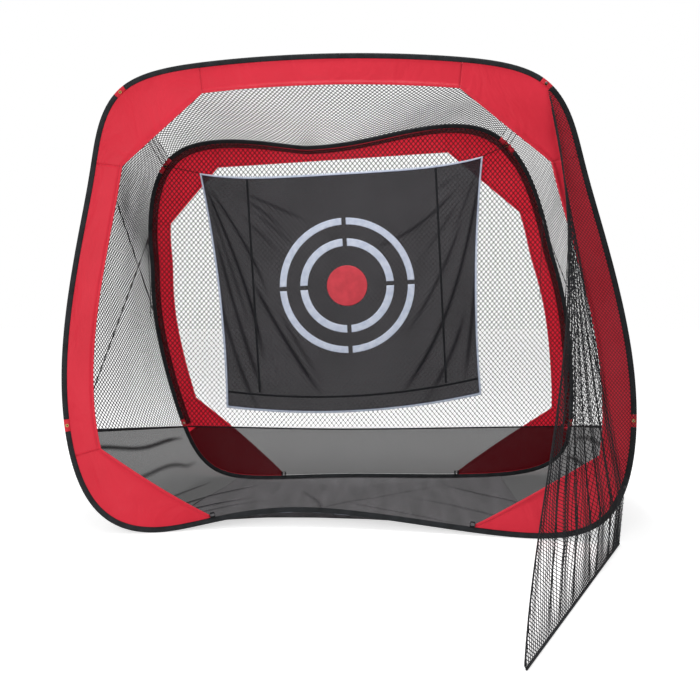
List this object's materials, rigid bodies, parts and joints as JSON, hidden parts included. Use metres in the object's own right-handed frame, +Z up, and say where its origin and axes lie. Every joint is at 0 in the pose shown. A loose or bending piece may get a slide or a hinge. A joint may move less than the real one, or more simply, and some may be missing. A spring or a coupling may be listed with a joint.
{
  "type": "golf practice net",
  "caption": "Pop-up golf practice net: two sprung hoops in fabric sleeves, netted tunnel, hanging ring target sheet and a side wing net",
  "frame": {"origin": "on the ground, midway between the two foot lines and in the middle between the feet", "axes": "+Z up; the open mouth faces -Y; the player's right is +X, the side of the wing net"},
  "size_m": [2.5166, 2.5409, 2.0949],
  "materials": {
    "red_panel": "red polyester",
    "black_tape": "black woven tape",
    "black_net": "black knotted netting",
    "fine_mesh": "black fine mesh",
    "spring_steel": "blued spring steel",
    "eyelet_brass": "plated eyelet",
    "buckle_plastic": "black moulded",
    "cord_black": "braided cord",
    "target_cloth": "black mesh cloth",
    "print_grey": "light grey cloth",
    "print_red": "red cloth"
  },
  "bodies": {
    "front_frame": {"front_steel_hoop": "spring_steel", "front_hoop_ferrule": "spring_steel", "front_sleeve_top": "black_tape", "front_sleeve_left": "black_tape", "front_sleeve_bottom": "black_tape", "front_sleeve_right": "black_tape", "front_band_top": "red_panel", "front_band_left": "red_panel", "front_band_right": "red_panel", "front_corner_top_left": "red_panel", "front_corner_top_right": "red_panel", "front_corner_bottom_left": "red_panel", "front_corner_bottom_right": "red_panel", "front_eyelet_patches": "red_panel", "front_eyelets": "eyelet_brass", "front_peg_loops": "black_tape", "roof_net": "black_net", "left_side_net": "black_net", "right_side_net": "black_net", "left_skirt": "fine_mesh", "right_skirt": "fine_mesh", "floor_mesh": "fine_mesh", "corner_cords": "cord_black", "brace_straps": "black_tape", "wing_edge_strip": "black_net"},
    "back_frame": {"back_steel_hoop": "spring_steel", "back_hoop_ferrule": "spring_steel", "back_sleeve_top": "black_tape", "back_sleeve_left": "black_tape", "back_sleeve_bottom": "black_tape", "back_sleeve_right": "black_tape", "back_band_top": "red_panel", "back_band_left": "red_panel", "back_band_right": "red_panel", "back_corner_top_left": "red_panel", "back_corner_top_right": "red_panel", "back_corner_bottom_left": "red_panel", "back_corner_bottom_right": "red_panel", "back_eyelet_patches": "red_panel", "back_eyelets": "eyelet_brass", "back_peg_loops": "black_tape", "back_net": "black_net", "back_skirt": "fine_mesh"},
    "target": {"target_sheet": "target_cloth", "target_binding": "print_grey", "target_large_ring": "print_grey", "target_small_ring": "print_grey", "target_bullseye": "print_red", "target_seams": "black_tape", "target_ties": "cord_black"},
    "wing": {"wing_net": "black_net", "wing_front_cord": "cord_black", "wing_hem_cord": "cord_black", "wing_toggles": "cord_black"},
    "left_buckle": {"left_buckle": "buckle_plastic", "left_strap_tail": "black_tape"},
    "right_buckle": {"right_buckle": "buckle_plastic", "right_strap_tail": "black_tape"}
  },
  "joints": [
    {"name": "fold_slide", "type": "slide", "parent": "front_frame", "child": "back_frame", "axis": [0, -1, 0], "range_m": [0, 0.65], "deforming": ["roof_net", "left_side_net", "right_side_net", "left_skirt", "right_skirt", "floor_mesh", "corner_cords", "brace_straps"]},
    {"name": "target_swing", "type": "hinge", "parent": "back_frame", "child": "target", "pos_m": [-0.12222, 0.50733, 1.81238], "axis": [-0.9985, -0.0071, -0.0547], "range_deg": [0, 25]},
    {"name": "wing_swing", "type": "hinge", "parent": "front_frame", "child": "wing", "pos_m": [1.14306, -0.64618, 0.22667], "axis": [-0.1675, 0.1361, 0.9764], "range_deg": [0, 35]},
    {"name": "left_buckle_slide", "type": "slide", "parent": "back_frame", "child": "left_buckle", "axis": [-0.0327, -0.7201, -0.6931], "range_m": [0, 0.2]},
    {"name": "right_buckle_slide", "type": "slide", "parent": "back_frame", "child": "right_buckle", "axis": [0.0955, -0.7112, -0.6964], "range_m": [0, 0.2]}
  ]
}
